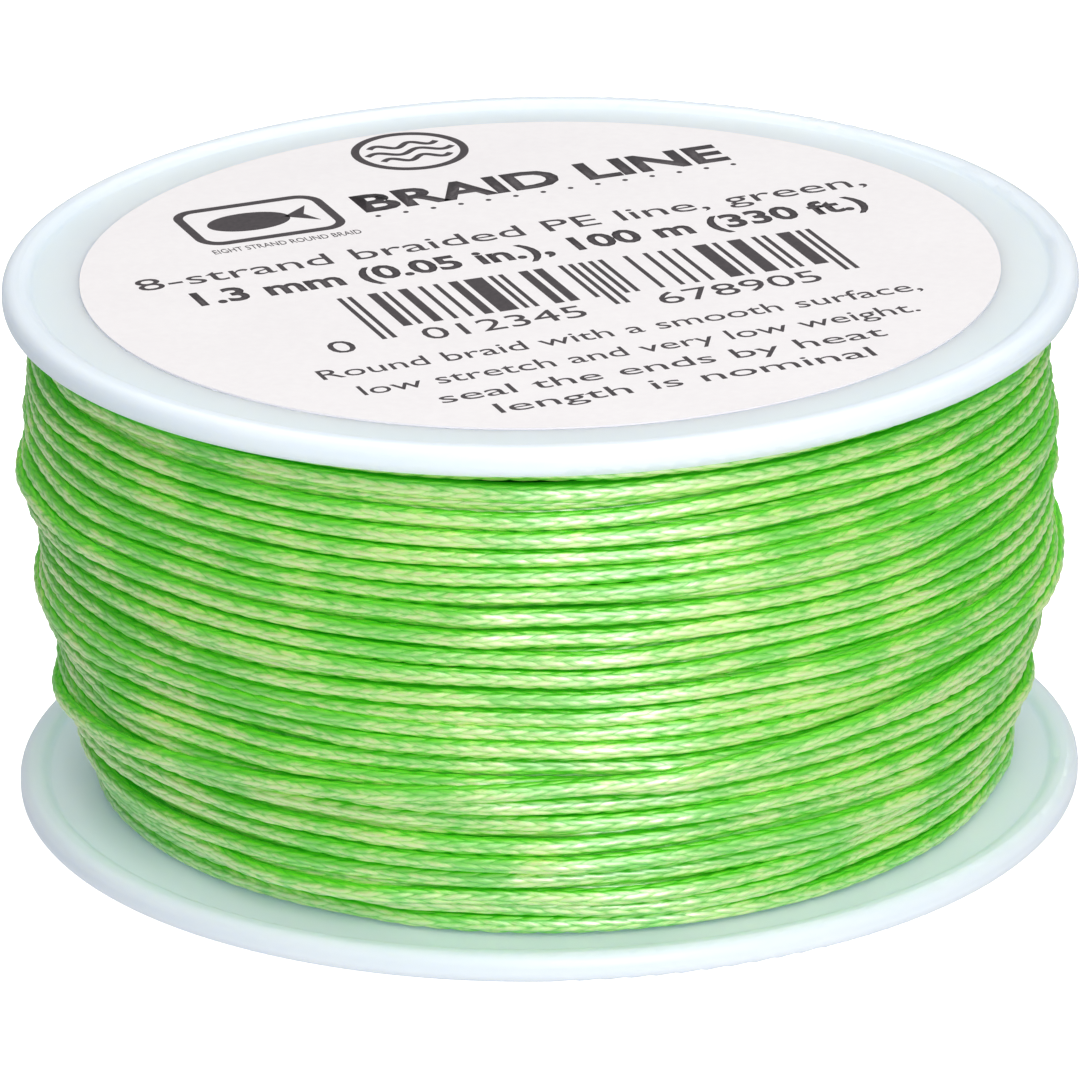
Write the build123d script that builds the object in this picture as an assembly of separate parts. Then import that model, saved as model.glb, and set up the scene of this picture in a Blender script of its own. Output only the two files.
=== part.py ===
from build123d import *
import math
import os

# A flanged bobbin full of braided line, standing on its lower flange.
# Millimetres, +Z up. The origin is on the bobbin's axis, in the plane it stands on.

# ---- driving dimensions -------------------------------------------------------------
FLANGE_D = 76.0          # outside diameter of both flanges
OVERALL_H = 39.0         # from the lower rim to the upper rim
RIM_D = 2.1              # thickness and width of the rounded rim around each flange
RIM_ROUND = 0.85         # corner radius of the rim, which leaves a narrow flat to stand on
RIM_FILLET = 0.35        # where the rim meets the flange disc
WEB_T = 1.1              # thickness of the flange disc inside its rim

DRUM_D = 26.0            # outside of the drum that the line is wound on
DRUM_WALL = 1.5
SPINDLE_BORE_D = 10.4    # hole for a 10 mm spindle
SPINDLE_WALL = 1.3
RIB_COUNT = 6
RIB_T = 1.2
RIB_OVERLAP = 0.5        # how far a rib runs into the walls that it joins

SPIGOT_L = 4.5           # how far each flange's spigot reaches into the drum
SPIGOT_WALL = 1.4
SPIGOT_GAP = 0.02        # the drum and spindle tube press into the flanges
LEAD_IN = 0.4            # chamfer on spigots and at the bore's mouth

LABEL_D = 65.0
LABEL_T = 0.12

LINE_D = 1.3             # the braided line, as it lies
TURNS = 26               # turns side by side in one layer
PACK_GAP = 0.05          # between the wound line and each flange
FULL_R = 36.6            # outside radius of the winding where it is fullest
FULL_Z = 25.0            # height of that fullest place
FALL_LOW = 3.4           # how much smaller the winding is at the lower flange
FALL_HIGH = 1.1          # and at the upper flange
RIDGE_H = 0.33           # height of a turn's ridge above the groove beside it
OUTER_DEPTH = 2.8        # depth of the outer layers, the ones that show

START_TAPE_W = 12.0      # tape that holds the line's first end on the drum
START_TAPE_T = 0.1
START_TAPE_ARC = 100.0   # degrees of the drum that it covers
START_L = 16.0           # length of line laid along the drum, under the tape
START_FLAT = 0.12        # how far that line is pressed flat against the drum

END_L = 9.0              # free end of the line, left outside its last tuck
END_AZIMUTH = 128.0      # where that end lies, round the back
END_GROOVE = 15          # the groove it lies in, counted from the lower flange

EJECTOR_D = 4.0          # round ejector marks on a flange's outer face
EJECTOR_DEPTH = 0.15
EJECTOR_RING_D = 52.0
EJECTOR_COUNT = 4
GATE_D = 2.4             # stub left by the moulding gate
GATE_H = 0.25
STEP_D = 30.0            # shallow ring step around the spindle hole
STEP_DEPTH = 0.3
STEP_W = 1.6
SAME_PLACE = 0.01        # closer than this, two heights count as one

# ---- derived sizes ------------------------------------------------------------------
FLANGE_R = FLANGE_D / 2
RIM_R = RIM_D / 2
WEB_INSET = (RIM_D - WEB_T) / 2
GROOVE_LOW = WEB_INSET + WEB_T
GROOVE_HIGH = OVERALL_H - GROOVE_LOW
GROOVE_W = GROOVE_HIGH - GROOVE_LOW
DRUM_R = DRUM_D / 2
DRUM_BORE_R = DRUM_R - DRUM_WALL
SPINDLE_BORE_R = SPINDLE_BORE_D / 2
SPINDLE_R = SPINDLE_BORE_R + SPINDLE_WALL
LINE_R = LINE_D / 2
WOUND_LOW = GROOVE_LOW + PACK_GAP
WOUND_HIGH = GROOVE_HIGH - PACK_GAP
PITCH = (WOUND_HIGH - WOUND_LOW) / TURNS


def tube(outer_r, inner_r, low, high):
    """A plain tube about the bobbin's axis."""
    ring = Circle(outer_r) - Circle(inner_r)
    return Pos(0, 0, low) * extrude(ring, high - low)


def turned(outline):
    """A solid of revolution from a closed outline of (radius, height) points."""
    wire = Polyline(*outline, close=True)
    face = make_face(Plane.XZ * wire)
    return revolve(face, Axis.Z)


def flange_disc():
    """A flat disc with a spindle hole, inside a thicker rounded rim."""
    rim_mid_r = FLANGE_R - RIM_R
    web = tube(rim_mid_r, SPINDLE_R + SPIGOT_GAP, WEB_INSET, GROOVE_LOW)
    rim_section = Pos(rim_mid_r, RIM_R) * RectangleRounded(RIM_D, RIM_D, RIM_ROUND)
    disc = web + revolve(Plane.XZ * rim_section, Axis.Z)
    corners = []
    for edge in disc.edges().filter_by(GeomType.CIRCLE):
        z = edge.center().Z
        at_web_face = min(abs(z - WEB_INSET), abs(z - GROOVE_LOW)) < SAME_PLACE
        if at_web_face and rim_mid_r - RIM_D < edge.radius < rim_mid_r:
            corners.append(edge)
    return fillet(corners, RIM_FILLET)


def flange_body():
    """One flange lying face down: outer face at the bottom, spigot pointing up."""
    disc = flange_disc()
    spigot_r = DRUM_BORE_R - SPIGOT_GAP
    spigot_top = GROOVE_LOW + SPIGOT_L
    spigot = turned([
        (spigot_r - SPIGOT_WALL, GROOVE_LOW - WEB_T / 2),
        (spigot_r, GROOVE_LOW - WEB_T / 2),
        (spigot_r, spigot_top - LEAD_IN),
        (spigot_r - LEAD_IN, spigot_top),
        (spigot_r - SPIGOT_WALL, spigot_top),
    ])
    return disc + spigot


def outer_face_marks(body):
    """The ring step, ejector marks and gate stub on a flange's outer face."""
    step_r = STEP_D / 2
    step = tube(step_r, step_r - STEP_W, WEB_INSET, WEB_INSET + STEP_DEPTH)
    body = body - step
    for spot in PolarLocations(EJECTOR_RING_D / 2, EJECTOR_COUNT, start_angle=45):
        mark = Cylinder(EJECTOR_D / 2, 2 * EJECTOR_DEPTH)
        body = body - Pos(0, 0, WEB_INSET) * spot * mark
    gate_x = (step_r + EJECTOR_RING_D / 2 - EJECTOR_D / 2) / 2
    stub = Pos(gate_x, 0, WEB_INSET) * Cylinder(GATE_D / 2, 2 * GATE_H)
    return body + stub


def lower_flange():
    """The flange that the bobbin stands on."""
    return outer_face_marks(flange_body())


def upper_flange():
    """The same moulding turned over; its outer face stays smooth under the label."""
    return Pos(0, 0, OVERALL_H) * Rot(180, 0, 0) * flange_body()


def hub_core():
    """Drum, spindle tube and the ribs between them, moulded as one piece."""
    drum = tube(DRUM_R, DRUM_BORE_R, GROOVE_LOW, GROOVE_HIGH)
    low = WEB_INSET
    high = OVERALL_H - WEB_INSET
    spindle = turned([
        (SPINDLE_BORE_R, low + LEAD_IN),
        (SPINDLE_BORE_R + LEAD_IN, low),
        (SPINDLE_R, low),
        (SPINDLE_R, high),
        (SPINDLE_BORE_R, high),
    ])
    rib_low = GROOVE_LOW + SPIGOT_L + LEAD_IN
    rib_high = GROOVE_HIGH - SPIGOT_L - LEAD_IN
    rib_l = DRUM_BORE_R - SPINDLE_R + 2 * RIB_OVERLAP
    rib_mid_r = (DRUM_BORE_R + SPINDLE_R) / 2
    core = drum + spindle
    for spot in PolarLocations(rib_mid_r, RIB_COUNT):
        rib = Box(rib_l, RIB_T, rib_high - rib_low)
        core = core + Pos(0, 0, (rib_low + rib_high) / 2) * spot * rib
    return core


def top_label():
    """A round paper label, stuck to the upper flange over the spindle hole."""
    return Pos(0, 0, OVERALL_H - WEB_INSET) * extrude(Circle(LABEL_D / 2), LABEL_T)


def winding_r(z):
    """Outside radius of the winding: fullest above the middle, smallest at the foot."""
    if z < FULL_Z:
        fall = FALL_LOW * ((FULL_Z - z) / (FULL_Z - WOUND_LOW)) ** 2
    else:
        fall = FALL_HIGH * ((z - FULL_Z) / (WOUND_HIGH - FULL_Z)) ** 2
    return FULL_R - fall


def outer_layers():
    """The layers of line that show, as one ring with a round ridge for each turn."""
    inner_r = winding_r(WOUND_LOW) - OUTER_DEPTH
    grooves = []
    ridges = []
    for turn in range(TURNS + 1):
        z = WOUND_LOW + turn * PITCH
        grooves.append((winding_r(z) - RIDGE_H, z))
    for turn in range(TURNS):
        z = WOUND_LOW + (turn + 0.5) * PITCH
        ridges.append((winding_r(z), z))
    edges = [Line((inner_r, WOUND_LOW), grooves[0])]
    for turn in range(TURNS):
        edges.append(ThreePointArc(grooves[turn], ridges[turn], grooves[turn + 1]))
    edges.append(Line(grooves[-1], (inner_r, WOUND_HIGH)))
    edges.append(Line((inner_r, WOUND_HIGH), (inner_r, WOUND_LOW)))
    face = make_face(Plane.XZ * Wire(edges))
    return revolve(face, Axis.Z)


def along_drum(radius, low, high):
    """A round bar pressed a little flat against the drum, parallel to its axis."""
    x = DRUM_R + LINE_R - START_FLAT
    bar = Pos(x, 0, low) * extrude(Circle(radius), high - low)
    return bar - Cylinder(DRUM_R, 2 * OVERALL_H)


def line_start():
    """The first end of the line, laid along the drum."""
    mid = (GROOVE_LOW + GROOVE_HIGH) / 2
    return along_drum(LINE_R, mid - START_L / 2, mid + START_L / 2)


def taped_space():
    """The tape and all that is under it, as one solid outside the drum."""
    low = (GROOVE_LOW + GROOVE_HIGH - START_TAPE_W) / 2
    high = low + START_TAPE_W
    band = tube(DRUM_R + START_TAPE_T, DRUM_R, low, high)
    reach = 2 * DRUM_R
    half = math.radians(START_TAPE_ARC / 2)
    upper = (reach * math.cos(half), reach * math.sin(half))
    lower = (upper[0], -upper[1])
    wedge = make_face(Polyline((0, 0), lower, upper, close=True))
    band = band & Pos(0, 0, low) * extrude(wedge, START_TAPE_W)
    return band + along_drum(LINE_R + START_TAPE_T, low, high)


def start_tape():
    """A strip of tape round the drum, raised over the first end of the line."""
    return taped_space() - line_start()


def inner_layers():
    """All the layers of line underneath the outer ones, down to the drum."""
    outer_r = winding_r(WOUND_LOW) - OUTER_DEPTH
    body = tube(outer_r, DRUM_R, WOUND_LOW, WOUND_HIGH)
    return body - taped_space() - line_start()


def end_lie_r(z):
    """Radius of a line's centre when it lies in the groove between two turns."""
    half = PITCH / 2
    ridge_r = (half ** 2 + RIDGE_H ** 2) / (2 * RIDGE_H)
    rise = math.sqrt((ridge_r + LINE_R) ** 2 - half ** 2)
    return winding_r(z) - ridge_r + rise + PACK_GAP


def line_end():
    """The last end of the line, lying in a groove where it comes out of its tuck."""
    z = WOUND_LOW + END_GROOVE * PITCH
    lie_r = end_lie_r(z)
    half = math.degrees(END_L / lie_r) / 2
    path = CenterArc((0, 0, 0), lie_r, -half, 2 * half)
    start = Plane(origin=path @ 0, z_dir=path % 0)
    tail = sweep(start * Circle(LINE_R), path=path)
    return Pos(0, 0, z) * Rot(0, 0, END_AZIMUTH) * tail


PIECES = {
    "lower_flange": lower_flange,
    "upper_flange": upper_flange,
    "hub_core": hub_core,
    "top_label": top_label,
    "start_tape": start_tape,
    "line_start": line_start,
    "line_inner_layers": inner_layers,
    "line_outer_layers": outer_layers,
    "line_end": line_end,
}

os.makedirs("parts", exist_ok=True)
for name, make in PIECES.items():
    shape = make()
    export_step(shape, f"parts/{name}.step")
    print(f"{name}: {len(shape.solids())} solid, {shape.volume:.0f} mm3")
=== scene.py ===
# %% [markdown]
# # A bobbin of braided line
# The object is a flat plastic bobbin, wound full of bright green braided line, with a round
# printed label on top. The bobbin is plain moulded plastic. Nearly all of what the eye sees is
# one long braided line, so most of this lesson is about winding it and braiding it.

# %% Load the frame
import math

import bmesh
import bpy
import numpy as np
from mathutils import Matrix, Vector


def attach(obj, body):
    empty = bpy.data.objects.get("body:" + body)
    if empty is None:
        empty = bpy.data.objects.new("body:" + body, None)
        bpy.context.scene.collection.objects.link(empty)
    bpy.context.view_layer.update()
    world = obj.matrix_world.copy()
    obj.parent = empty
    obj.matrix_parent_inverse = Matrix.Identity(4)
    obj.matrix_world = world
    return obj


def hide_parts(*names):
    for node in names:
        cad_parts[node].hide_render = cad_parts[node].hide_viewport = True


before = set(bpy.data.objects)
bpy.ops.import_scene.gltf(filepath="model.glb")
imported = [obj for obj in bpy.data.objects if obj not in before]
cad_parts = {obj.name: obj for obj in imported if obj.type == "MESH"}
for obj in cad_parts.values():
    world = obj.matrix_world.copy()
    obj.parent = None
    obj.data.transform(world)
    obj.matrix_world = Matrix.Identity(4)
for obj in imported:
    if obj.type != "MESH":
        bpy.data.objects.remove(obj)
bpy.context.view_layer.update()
MM = 0.001
TAU = 2 * math.pi

# %% [markdown]
# ## Sizes
# The frame says where everything is. The outside radius of the winding at each height is read
# from the ridges of the plain ring that stands for the outer layers, so that the real turns
# land where the design has them. The script works in millimetres, and a mesh is scaled to
# metres when it is made.

# %% Sizes from the frame
def mm_points(node):
    """All points of a CAD node, in millimetres."""
    return np.array([v.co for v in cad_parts[node].data.vertices]) / MM


outer = mm_points("line_outer_layers")
inner = mm_points("line_inner_layers")
tail = mm_points("line_end")
label = mm_points("top_label")
FLANGE_R = float(mm_points("lower_flange")[:, 0].max())
TOP = float(mm_points("upper_flange")[:, 2].max())
LABEL_TOP = label[:, 2].max()
WOUND_LOW, WOUND_HIGH = outer[:, 2].min(), outer[:, 2].max()
INNER_R = np.hypot(inner[:, 0], inner[:, 1]).max()
TURNS = 26             # turns side by side in a full layer
PITCH = (WOUND_HIGH - WOUND_LOW) / TURNS


def ridge_radius():
    """Height and outside radius at the ridge of each turn of the CAD ring."""
    radius = np.hypot(outer[:, 0], outer[:, 1])
    heights = WOUND_LOW + (np.arange(TURNS) + 0.5) * PITCH
    ridge = [radius[np.abs(outer[:, 2] - z) < PITCH / 2].max() for z in heights]
    return heights, np.array(ridge)


RIDGE_Z, RIDGE_R = ridge_radius()
TAIL_Z = (tail[:, 2].min() + tail[:, 2].max()) / 2
TAIL_R = np.hypot(tail[:, 0], tail[:, 1]).mean()
tail_turn = np.degrees(np.arctan2(tail[:, 1], tail[:, 0]))
TAIL_FROM, TAIL_TO = tail_turn.min(), tail_turn.max()
print("winding radius, mm:", np.round(RIDGE_R[::5], 2), "tail at", round(TAIL_R, 2), round(TAIL_Z, 2))

# %% [markdown]
# ## Writing node maths as plain sums
# A shader or a geometry tree made in a script turns into a wall of link calls. One small class
# wraps a number socket and overloads the operators, so that a formula reads as a formula. The
# same class serves both kinds of tree, because both have the Math node.

# %% A socket that can be added and multiplied
class Num:
    """A number socket in a node tree; sums on it add Math nodes."""

    def __init__(self, tree, socket):
        self.tree = tree
        self.socket = socket

    def math(self, operation, *values):
        """One Math node, with this socket as its first value."""
        node = add(self.tree, "ShaderNodeMath", {"operation": operation}, enumerate((self, *values)))
        return Num(self.tree, node.outputs[0])

    def __add__(self, other):
        return self.math("ADD", other)

    def __sub__(self, other):
        return self.math("SUBTRACT", other)

    def __rsub__(self, other):
        return self.math("MULTIPLY_ADD", -1.0, other)

    def __mul__(self, other):
        return self.math("MULTIPLY", other)

    def __truediv__(self, other):
        return self.math("DIVIDE", other)

    __radd__ = __add__
    __rmul__ = __mul__

    def mix(self, low, high):
        """From low where this is 0 to high where it is 1."""
        return low + self * (high - low)

    def between(self, low, high):
        """0 below low, 1 above high, smooth in between."""
        node = add(self.tree, "ShaderNodeMapRange", {"interpolation_type": "SMOOTHSTEP"}, {
            "Value": self, "From Min": low, "From Max": high})
        return Num(self.tree, node.outputs["Result"])


def connect(tree, slot, value):
    """Links a socket to an input, or sets the input to a plain value."""
    if isinstance(value, Num):
        value = value.socket
    if isinstance(value, bpy.types.NodeSocket):
        tree.links.new(value, slot)
    else:
        slot.default_value = value


def add(tree, kind, settings=None, values=()):
    """A node of any kind: its settings first, then its inputs by name or number."""
    node = tree.nodes.new(kind)
    for name, value in (settings or {}).items():
        setattr(node, name, value)
    for name, value in dict(values).items():
        connect(tree, node.inputs[name], value)
    return node


def parts_of(tree, vector):
    """The three numbers of a vector socket."""
    node = add(tree, "ShaderNodeSeparateXYZ", values={"Vector": vector})
    return [Num(tree, socket) for socket in node.outputs]


def joined(tree, x, y, z):
    """A vector socket made of three numbers."""
    return add(tree, "ShaderNodeCombineXYZ", values={"X": x, "Y": y, "Z": z}).outputs[0]


# %% Helpers for finishes
def finish(name, **constants):
    """A new material: the material, its tree and its surface shader with these constants."""
    made = bpy.data.materials.new(name)
    made.use_nodes = True
    surface = made.node_tree.nodes["Principled BSDF"]
    for word, value in constants.items():
        surface.inputs[word.replace("_", " ")].default_value = value
    return made, made.node_tree, surface


def place_on(tree):
    """Where a point lies on the object, in metres."""
    return add(tree, "ShaderNodeTexCoord").outputs["Object"]


def noise(tree, vector, scale, detail=2.0):
    """Smooth noise as a number from 0 to 1."""
    values = {"Vector": vector, "Scale": scale, "Detail": detail}
    return Num(tree, add(tree, "ShaderNodeTexNoise", values=values).outputs[0])


def ramp(tree, value, *stops):
    """A colour for a number: each stop is its position and its colour."""
    node = add(tree, "ShaderNodeValToRGB", values={"Fac": value})
    for _ in stops[2:]:
        node.color_ramp.elements.new(1.0)
    for element, (position, colour) in zip(node.color_ramp.elements, stops):
        element.position = position
        element.color = (*colour, 1.0)
    return node.outputs["Color"]


def blend_colours(tree, share, low, high):
    """A mix of two colours, each a socket or three numbers."""
    node = add(tree, "ShaderNodeMix", {"data_type": "RGBA"}, {"Factor": share})
    colour_slots = [s for s in node.inputs if s.type == "RGBA"]
    for slot, colour in zip(colour_slots, (low, high)):
        connect(tree, slot, colour if isinstance(colour, bpy.types.NodeSocket) else (*colour, 1.0))
    return [s for s in node.outputs if s.type == "RGBA"][0]


def bumped(tree, surface, height, distance, strength=1.0):
    """Tilts the surface by a height from 0 to 1, deep as distance in metres."""
    values = {"Height": height, "Distance": distance, "Strength": strength}
    connect(tree, surface.inputs["Normal"], add(tree, "ShaderNodeBump", values=values).outputs[0])


# %% [markdown]
# ## How a round braid is put together
# The line is a hollow round braid of eight strands. Four strands climb clockwise round it and
# four climb the other way, and each passes over one and under the next. On the outside that
# leaves rows of small lens-shaped grains, each row half a grain out of step with its
# neighbours. One formula gives the height of the surface for a place along the line and an
# angle round it. The geometry tree uses it to shape the tube, and the finish uses it again for
# the sharp edges between strands that a mesh of sensible size can't hold.

# %% The braid formula
BRAID_LAY = 8.2        # length of line in which a strand goes once round
STRANDS_EACH_WAY = 4
STRAND_CROWN = 0.17    # how round the top of a strand is
STRAND_WEAVE = 0.085   # how far a strand moves out where it passes over another
STRAND_FLATNESS = 0.8  # below 1, a strand keeps some height at its edges
LINE_HALF_W = 0.68     # half the width of the line, as it lies on the pack
LINE_HALF_T = 0.58     # half its thickness


def strand(tree, turn, lays, way, weave):
    """Height of the strands that climb one way, and how far across one the place is."""
    place = (turn + lays * way) * STRANDS_EACH_WAY
    across = place.math("WRAP", 0.5, -0.5) * 2
    crown = (1 - across * across * STRAND_FLATNESS).math("SQRT")
    return crown * STRAND_CROWN + weave, across


def braid(tree, turn, lays):
    """Height of the braid in mm; turn is the share of a turn round the line, lays the place
    along it in lays. Also which way the top strand runs, and where across it the place is."""
    weave = (turn * (TAU * STRANDS_EACH_WAY)).math("COSINE") * STRAND_WEAVE
    over, over_across = strand(tree, turn, lays, -1.0, weave)
    under, under_across = strand(tree, turn, lays, 1.0, weave * -1.0)
    first_on_top = over.math("GREATER_THAN", under)
    across = first_on_top.mix(under_across, over_across)
    return over.math("MAXIMUM", under), first_on_top, across


print("relief of the braid, mm:", round(STRAND_CROWN + 2 * STRAND_WEAVE, 3))


# %% [markdown]
# ## The finish of the line
# The fibres are glassy polyethylene, coated green. Real braid like this has a soft white glint
# on each grain, deep green in the pits, and long patches where more or less colour stuck. The
# glint is a painted highlight, paler colour on the crests of the grains, and the pits are
# darker green as painted shade. The pattern has to follow the line and not the bobbin, so it
# reads an attribute that the geometry tree leaves on the mesh: the place along the line, and
# the cosine and sine of the angle round it. An angle itself would have a seam; a cosine and a
# sine have none. A second attribute says how far a place faces out and a little down, where
# the colour is painted pale as a painted reflection of the white table, and a slow noise over
# the whole pack adds the marks of handling. A faint green emission is painted light: the line
# glows a little of itself, which lifts its shaded grooves.

# %% Green braid
def green_braid():
    # The emission is painted light: the line glows faintly green of itself, which lifts its shaded
    # grooves.
    made, tree, surface = finish("green_braid", IOR=2.2, Specular_Tint=(1.0, 0.94, 0.6, 1),
                                 Coat_Roughness=0.38, Coat_IOR=3.8, Subsurface_Weight=0.6,
                                 Subsurface_Radius=(0.3, 1.0, 0.15), Subsurface_Scale=1.0 * MM,
                                 Emission_Color=(0.002, 0.06, 0.001, 1), Emission_Strength=1.0)
    lay = add(tree, "ShaderNodeAttribute", {"attribute_name": "lay"}).outputs["Vector"]
    lays, cosine, sine = parts_of(tree, lay)
    turn = sine.math("ARCTAN2", cosine) / TAU
    outside = Num(tree, add(tree, "ShaderNodeAttribute", {"attribute_name": "outside"}).outputs["Fac"])
    height, first_on_top, across = braid(tree, turn, lays)
    crest = (height / (STRAND_CROWN + STRAND_WEAVE)).between(0.15, 0.95)
    along = lays * BRAID_LAY
    fibre = noise(tree, joined(tree, across * 3.2, along * 0.55, first_on_top * 5), 2.4, 3.0)
    patch = noise(tree, joined(tree, along * 0.06, turn * 0.6, 3.0), 1.0, 3.0)
    speck = noise(tree, joined(tree, along * 1.1, turn * 6.0, 9.0), 1.0, 2.0)
    place = place_on(tree)
    handled = noise(tree, place, 0.19 / MM, 4.0)
    # The side that faces out and a little down takes the coat; the pale colour there is a painted
    # reflection of the white table.
    faces_out_low = outside.between(0.15, 0.85)
    uneven = (patch - 0.5) * 0.7 + (speck - 0.5) * 0.8 + (fibre - 0.5) * 0.6
    # Painted highlight on the crests and painted reflection on the side that faces out and down, mixed
    # with random tone from the noises.
    tone_and_sheen = outside * 0.55 + crest * 0.30 + uneven
    pale = (tone_and_sheen + (handled - 0.5) * 1.7).between(0.46, 1.0)
    # Both ramps are darker at the bottom of the pits and paler on the crests: painted shade in the
    # pits, a painted highlight on the grains.
    deep = ramp(tree, crest, (0.0, (0.003, 0.34, 0.001)), (0.5, (0.035, 0.54, 0.002)),
                (1.0, (0.120, 0.68, 0.006)))
    light = ramp(tree, crest, (0.0, (0.19, 0.67, 0.03)), (0.5, (0.37, 0.79, 0.08)),
                 (1.0, (0.64, 0.91, 0.24)))
    connect(tree, surface.inputs["Base Color"], blend_colours(tree, pale, deep, light))
    connect(tree, surface.inputs["Roughness"], fibre * 0.16 + 0.34)
    connect(tree, surface.inputs["Coat Weight"], crest * faces_out_low * (pale * 0.45 + 0.6))
    relief = height * 5.0 + fibre * 0.16
    bumped(tree, surface, relief, 0.2 * MM, 0.8)
    return made


GREEN_BRAID = green_braid()
print("nodes in the braid's finish:", len(GREEN_BRAID.node_tree.nodes))

# %% [markdown]
# ## Winding the line
# A winder lays the line in turns while its guide travels up and down. The guide never places a
# turn exactly: the line slides off the turn beneath into a groove, rides up on a crossing, and
# being stretched tight it cuts straight across hollows. That gives the uneven rows that make a
# wound bobbin look real, so the winding is simulated instead of drawn. The pack is kept as a
# height for every degree round the drum and every twentieth of a millimetre up it. Each turn
# is laid on that surface, slides, is pulled tight, and raises the surface under it.

# %% Sizes of the winding
STEPS = 360            # places per turn
CELL = 0.05            # mm
LAYERS = 7             # layers laid one on another, of which the last three can show
LAYER_RISE = 0.66      # how much one layer adds to the radius
LAST_FULL_TURNS = 21   # the last layer stops short of the lower flange
REACH = 26             # how far a turn may slide from the guide, in cells
HALF_W = 0.67          # half width and half thickness that a line takes up in the pack
HALF_T = 0.40
LEAD = 48              # places of the turn before that a new turn pulls tight with
GRIP = 0.12            # slope on which the line starts to slide
SLIDES = 16            # small slides that a new turn makes
STIFF_OVER = 43        # places over which the line can't bend sharply
random = np.random.default_rng(11)
print("line lies in the pack, mm:", 2 * HALF_W, "by", 2 * HALF_T)


def slow_noise(count, reach):
    """Random values that stay alike over reach places, by a cubic B-spline."""
    knots = random.standard_normal(int(count / reach) + 4)
    x = np.arange(count) / reach
    i, f = x.astype(int), x % 1
    shares = ((1 - f) ** 3, 3 * f ** 3 - 6 * f ** 2 + 4, -3 * f ** 3 + 3 * f ** 2 + 3 * f + 1, f ** 3)
    return sum(share / 6 * knots[i + k] for k, share in enumerate(shares))


def smoothed(values, width):
    """The values with a bell-shaped running mean; the ends are held."""
    bell = np.hanning(width + 2)[1:-1]
    padded = np.pad(values, width // 2, mode="edge")
    return np.convolve(padded, bell / bell.sum(), "valid")


# %% [markdown]
# The path of the guide runs up and down, one layer each way. The last layer stops short of the
# lower flange. Then the line is led back up across the outside in one slanting turn, to the
# groove round the back where its end is tucked in.

# %% The path of the guide
LOWEST, HIGHEST = WOUND_LOW + HALF_W, WOUND_HIGH - HALF_W
ALL_TURNS = (LAYERS - 1) * TURNS + LAST_FULL_TURNS + 1
SIDE_Z = 17.7          # height at which the slanting turn passes the +X side
SIDE_TURN = TAIL_FROM / 360


def guide_heights():
    """Height of the guide at every place of every turn."""
    count = ALL_TURNS * STEPS
    turn = np.arange(count) / STEPS
    ends = [layer * TURNS for layer in range(LAYERS)]
    heights = [HIGHEST if layer % 2 == 0 else LOWEST for layer in range(LAYERS)]
    ends += [ALL_TURNS - 1, ALL_TURNS - SIDE_TURN, ALL_TURNS]
    heights += [HIGHEST - LAST_FULL_TURNS * PITCH, SIDE_Z, TAIL_Z]
    guide = smoothed(np.interp(turn, ends, heights), 61)
    calm = np.clip(ALL_TURNS - turn, 0.12, 1)
    wander = 0.45 * slow_noise(count, 3.1 * STEPS) + 0.30 * slow_noise(count, 0.8 * STEPS)
    return np.clip(guide + wander * calm, LOWEST, HIGHEST)


def pulled_tight(radius):
    """Lifts a stretched line off hollows: no place lies below the chord of its neighbours."""
    for _ in range(3):
        for k in (1, 2, 4, 8, 14, 8, 4, 2, 1):
            before, after = radius[:-2 * k], radius[2 * k:]
            chord = 2 * before * after * math.cos(math.radians(k * 360 / STEPS)) / (before + after)
            np.maximum(radius[k:-k], chord, out=radius[k:-k])
    return radius


# %% Lay the turns one by one
cell_z = np.arange(WOUND_LOW + CELL / 2, WOUND_HIGH, CELL)
half_cells = int(HALF_W / CELL)
arc_cells = np.arange(-half_cells, half_cells + 1)
line_arc = HALF_T * np.sqrt(1 - (arc_cells * CELL / HALF_W) ** 2)
rows = np.arange(STEPS)


def look_up(table, place):
    """Values between the columns of a table, one place for each row."""
    place = np.clip(place, 0, table.shape[1] - 1.001)
    column = place.astype(int)
    share = place - column
    return table[rows, column] * (1 - share) + table[rows, column + 1] * share


def support(pack, guide):
    """Radius at which a line's centre would rest, for each slide away from the guide."""
    margin = REACH + half_cells + 2
    wide = np.pad(pack, ((0, 0), (margin, margin)), constant_values=pack.max() + 3)
    column = np.rint((guide - WOUND_LOW) / CELL - 0.5).astype(int) + margin
    slides = column[:, None] + np.arange(-REACH, REACH + 1)[None]
    found = np.full(slides.shape, -1e9)
    for cell, rise in zip(arc_cells, line_arc):
        np.maximum(found, wide[rows[:, None], slides + cell] + rise, out=found)
    return found


def lay_turn(pack, guide, z_before, r_before):
    """Height and radius of one new turn on the pack."""
    rest = support(pack, guide)
    slide = np.zeros(STEPS)
    for _ in range(SLIDES):
        slope = (look_up(rest, slide + REACH + 1.5) - look_up(rest, slide + REACH - 1.5)) / (3 * CELL)
        slide -= np.where(np.abs(slope) > GRIP, np.clip(slope, -1.2, 1.2) * 1.6, 0)
        z = np.concatenate([z_before[-24:], guide + slide * CELL])
        slide = (smoothed(z, STIFF_OVER)[-STEPS:] - guide) / CELL
        slide = np.clip(slide, 2 - REACH, REACH - 2)
    z = np.clip(guide + slide * CELL, LOWEST, HIGHEST)
    radius = look_up(rest, (z - guide) / CELL + REACH)
    return z, pulled_tight(np.concatenate([r_before[-LEAD:], radius]))[-STEPS:]


def raise_pack(pack, z, radius):
    """The pack's surface once a turn lies on it."""
    column = np.rint((z - WOUND_LOW) / CELL - 0.5).astype(int)
    for cell, rise in zip(arc_cells, line_arc):
        there = np.clip(column + cell, 0, pack.shape[1] - 1)
        pack[rows, there] = np.maximum(pack[rows, there], radius + rise)


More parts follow.
